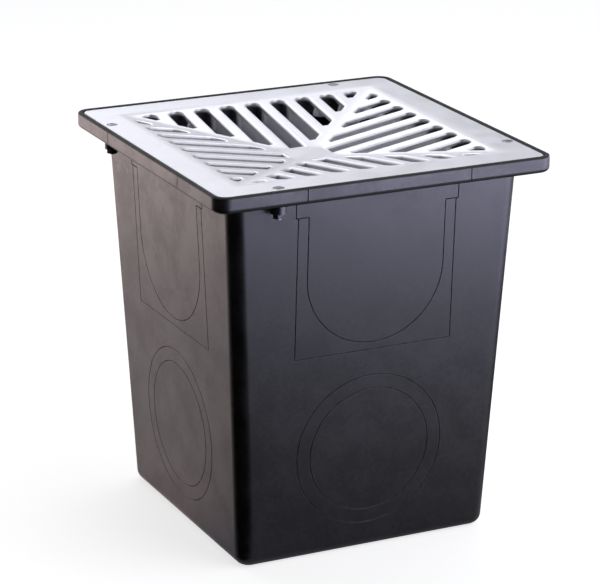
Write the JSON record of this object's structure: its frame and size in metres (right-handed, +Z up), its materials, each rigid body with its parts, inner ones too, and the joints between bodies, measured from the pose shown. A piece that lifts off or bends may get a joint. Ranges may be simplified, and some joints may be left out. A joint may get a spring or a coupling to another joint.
{
  "type": "rainwater pit",
  "caption": "Square tapered plastic rainwater pit with a rim, scored pipe and channel outlines, and a dished slotted metal grate held down by corner screws.",
  "frame": {"origin": "middle of the base, on the surface it stands on", "axes": "+Z up, -Y towards the front face, +X to the right seen from the front"},
  "size_m": [0.25, 0.25, 0.275],
  "materials": {
    "pit_plastic": "satin",
    "grate_metal": "satin cast",
    "fastener_steel": "dull"
  },
  "bodies": {
    "root": {"pit_body": "pit_plastic", "grate": "grate_metal", "grate_screw_1": "fastener_steel", "grate_screw_2": "fastener_steel", "grate_screw_3": "fastener_steel", "grate_screw_4": "fastener_steel", "screw_nut_1": "fastener_steel", "screw_nut_2": "fastener_steel", "screw_nut_3": "fastener_steel", "screw_nut_4": "fastener_steel"}
  },
  "joints": []
}
